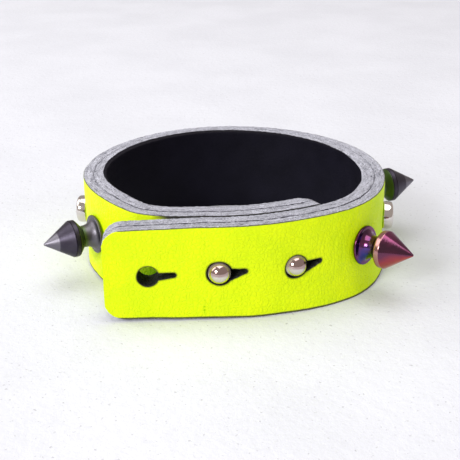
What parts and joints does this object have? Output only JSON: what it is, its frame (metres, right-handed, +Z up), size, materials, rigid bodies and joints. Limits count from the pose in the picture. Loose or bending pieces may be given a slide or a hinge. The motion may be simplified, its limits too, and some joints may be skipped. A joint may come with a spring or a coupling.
{
  "type": "studded leather wristband",
  "caption": "Two-ply leather wrist cuff, bright outside and black inside, buttoned by a keyhole tab over ball studs and set with cone spikes and cap studs.",
  "frame": {"origin": "under the middle of the whole object's box, on the surface that the band stands on", "axes": "+Z up across the strap's width, -Y out of the closure at the front, +X to the right seen from the front"},
  "size_m": [0.0825, 0.0783, 0.02],
  "materials": {
    "neon_leather": "bright yellow-green dyed leather, fine pebble grain, satin",
    "black_leather": "black smooth leather with grey fibrous cut edges",
    "gunmetal": "dark plated, satin, turning marks",
    "iridescent_metal": "polished with a red, purple and blue oxide sheen",
    "nickel": "polished nickel plate",
    "screw_steel": "plain plated steel, hidden"
  },
  "bodies": {
    "band": {"top_ply_band": "neon_leather", "lining_band": "black_leather", "spike_1": "iridescent_metal", "spike_screw_1": "screw_steel", "cap_stud_1": "nickel", "cap_rivet_1": "screw_steel", "spike_2": "gunmetal", "spike_screw_2": "screw_steel", "cap_stud_2": "nickel", "cap_rivet_2": "screw_steel", "spike_3": "iridescent_metal", "spike_screw_3": "screw_steel", "cap_stud_3": "nickel", "cap_rivet_3": "screw_steel", "spike_4": "gunmetal", "spike_screw_4": "screw_steel", "cap_stud_4": "nickel", "cap_rivet_4": "screw_steel", "spike_5": "gunmetal", "spike_screw_5": "screw_steel", "ball_stud_1": "nickel", "ball_screw_1": "screw_steel", "ball_stud_2": "nickel", "ball_screw_2": "screw_steel"},
    "tab": {"top_ply_tab": "neon_leather", "lining_tab": "black_leather"},
    "tip": {"top_ply_tip": "neon_leather", "lining_tip": "black_leather"}
  },
  "joints": [
    {"name": "tab_flex", "type": "hinge", "parent": "band", "child": "tab", "pos_m": [0.02329, -0.02846, 0], "axis": [0, 0, 1], "range_deg": [0, 60], "stiffness_Nm_per_rad": 0.05},
    {"name": "tip_flex", "type": "hinge", "parent": "tab", "child": "tip", "pos_m": [-0.00976, -0.03807, 0], "axis": [0, 0, 1], "range_deg": [0, 60], "stiffness_Nm_per_rad": 0.03}
  ]
}
